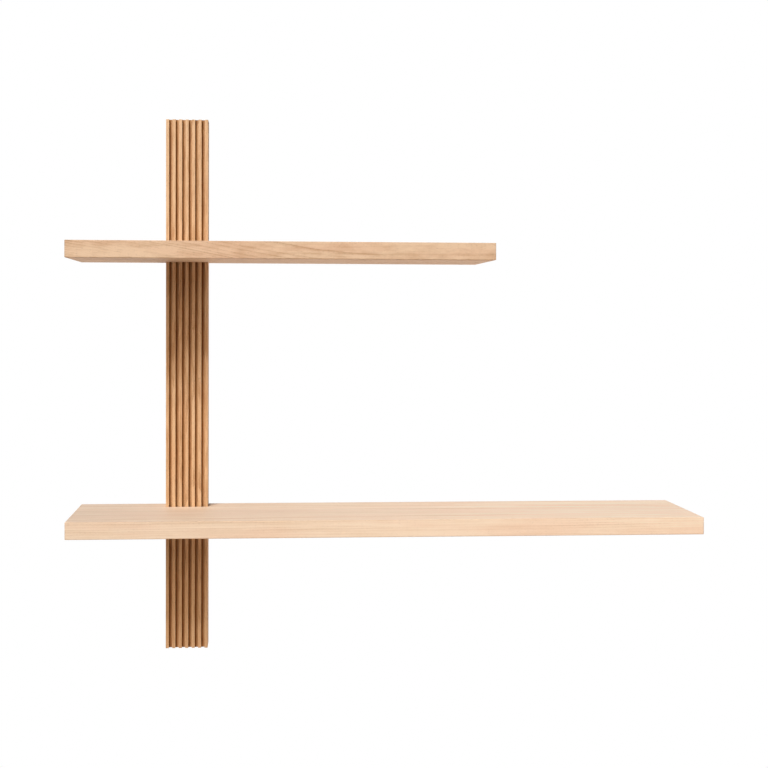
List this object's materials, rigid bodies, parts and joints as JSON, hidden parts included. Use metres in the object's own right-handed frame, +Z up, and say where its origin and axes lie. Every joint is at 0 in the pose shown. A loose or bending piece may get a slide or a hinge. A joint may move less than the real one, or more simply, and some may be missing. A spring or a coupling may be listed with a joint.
{
  "type": "wall shelf",
  "caption": "Wall shelf: a ribbed oak upright crossed by a short upper board and a long lower board, hung on hidden keyhole hangers.",
  "frame": {"origin": "centre of the upright's back face, which lies on the wall plane", "axes": "+X to the right as one faces the shelf, along the boards; +Y into the wall; +Z up"},
  "size_m": [0.9301, 0.2, 0.8144],
  "materials": {
    "upright_oak": "oiled matt oak, warm",
    "upper_board_oak": "oiled matt oak, honey",
    "lower_board_oak": "oiled matt oak, pale",
    "zinc_plate": "zinc plated",
    "rod_steel": "bright drawn",
    "screw_steel": "yellow passivated"
  },
  "bodies": {
    "root": {"ribbed_upright": "upright_oak", "upper_board": "upper_board_oak", "lower_board": "lower_board_oak", "upper_bracket_plate": "zinc_plate", "upper_bracket_rod_left": "rod_steel", "upper_bracket_rod_right": "rod_steel", "upper_bracket_screw_top_left": "screw_steel", "upper_bracket_screw_top_right": "screw_steel", "upper_bracket_screw_bottom_left": "screw_steel", "upper_bracket_screw_bottom_right": "screw_steel", "lower_bracket_plate": "zinc_plate", "lower_bracket_rod_left": "rod_steel", "lower_bracket_rod_right": "rod_steel", "lower_bracket_screw_top_left": "screw_steel", "lower_bracket_screw_top_right": "screw_steel", "lower_bracket_screw_bottom_left": "screw_steel", "lower_bracket_screw_bottom_right": "screw_steel", "top_hanger": "zinc_plate", "top_hanger_screw_left": "screw_steel", "top_hanger_screw_right": "screw_steel", "bottom_hanger": "zinc_plate", "bottom_hanger_screw_left": "screw_steel", "bottom_hanger_screw_right": "screw_steel", "upper_board_hanger": "zinc_plate", "upper_board_hanger_screw_left": "screw_steel", "upper_board_hanger_screw_right": "screw_steel", "lower_board_hanger": "zinc_plate", "lower_board_hanger_screw_left": "screw_steel", "lower_board_hanger_screw_right": "screw_steel"}
  },
  "joints": []
}
